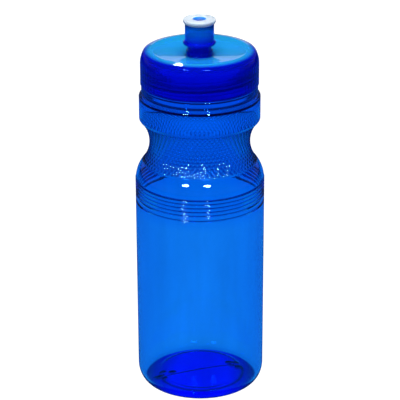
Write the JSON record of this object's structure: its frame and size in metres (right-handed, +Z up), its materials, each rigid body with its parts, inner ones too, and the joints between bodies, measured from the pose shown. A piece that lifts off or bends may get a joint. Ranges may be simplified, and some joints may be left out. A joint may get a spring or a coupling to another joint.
{
  "type": "sports squeeze bottle",
  "caption": "Clear blue blown sports bottle with a textured waist, a threaded screw cap, a flat seal and a push-pull drinking nozzle with a soft tip.",
  "frame": {"origin": "centre of the base, on the plane that the bottle stands on", "axes": "+Z up along the bottle's axis, from the base to the nozzle; +X and +Y are level, and nothing on the bottle sets their direction except the mould parting line"},
  "size_m": [0.073, 0.073, 0.2183],
  "materials": {
    "clear_blue": "clear tinted blown PET, glossy",
    "cap_blue": "deeper translucent blue moulded polypropylene, glossy",
    "seal_foam": "matte white foamed polyethylene",
    "soft_white": "soft frosted white polyethylene"
  },
  "bodies": {
    "bottle": {"bottle": "clear_blue"},
    "seal": {"seal_liner": "seal_foam"},
    "cap": {"screw_cap": "cap_blue"},
    "nozzle": {"nozzle_sleeve": "cap_blue", "nozzle_tip": "soft_white"}
  },
  "joints": [
    {"name": "cap_rise", "type": "slide", "parent": "bottle", "child": "seal", "axis": [0, 0, 1], "range_m": [0, 0.02]},
    {"name": "cap_unscrew", "type": "hinge", "parent": "seal", "child": "cap", "pos_m": [0, 0, 0.19], "axis": [0, 0, 1], "range_deg": [0, 1440]},
    {"name": "nozzle_slide", "type": "slide", "parent": "cap", "child": "nozzle", "axis": [0, 0, 1], "range_m": [-0.0032, 0]}
  ],
  "couplings": [
    {"joint": "cap_rise", "follows": "cap_unscrew", "m_per_rad": 0.00079577}
  ]
}
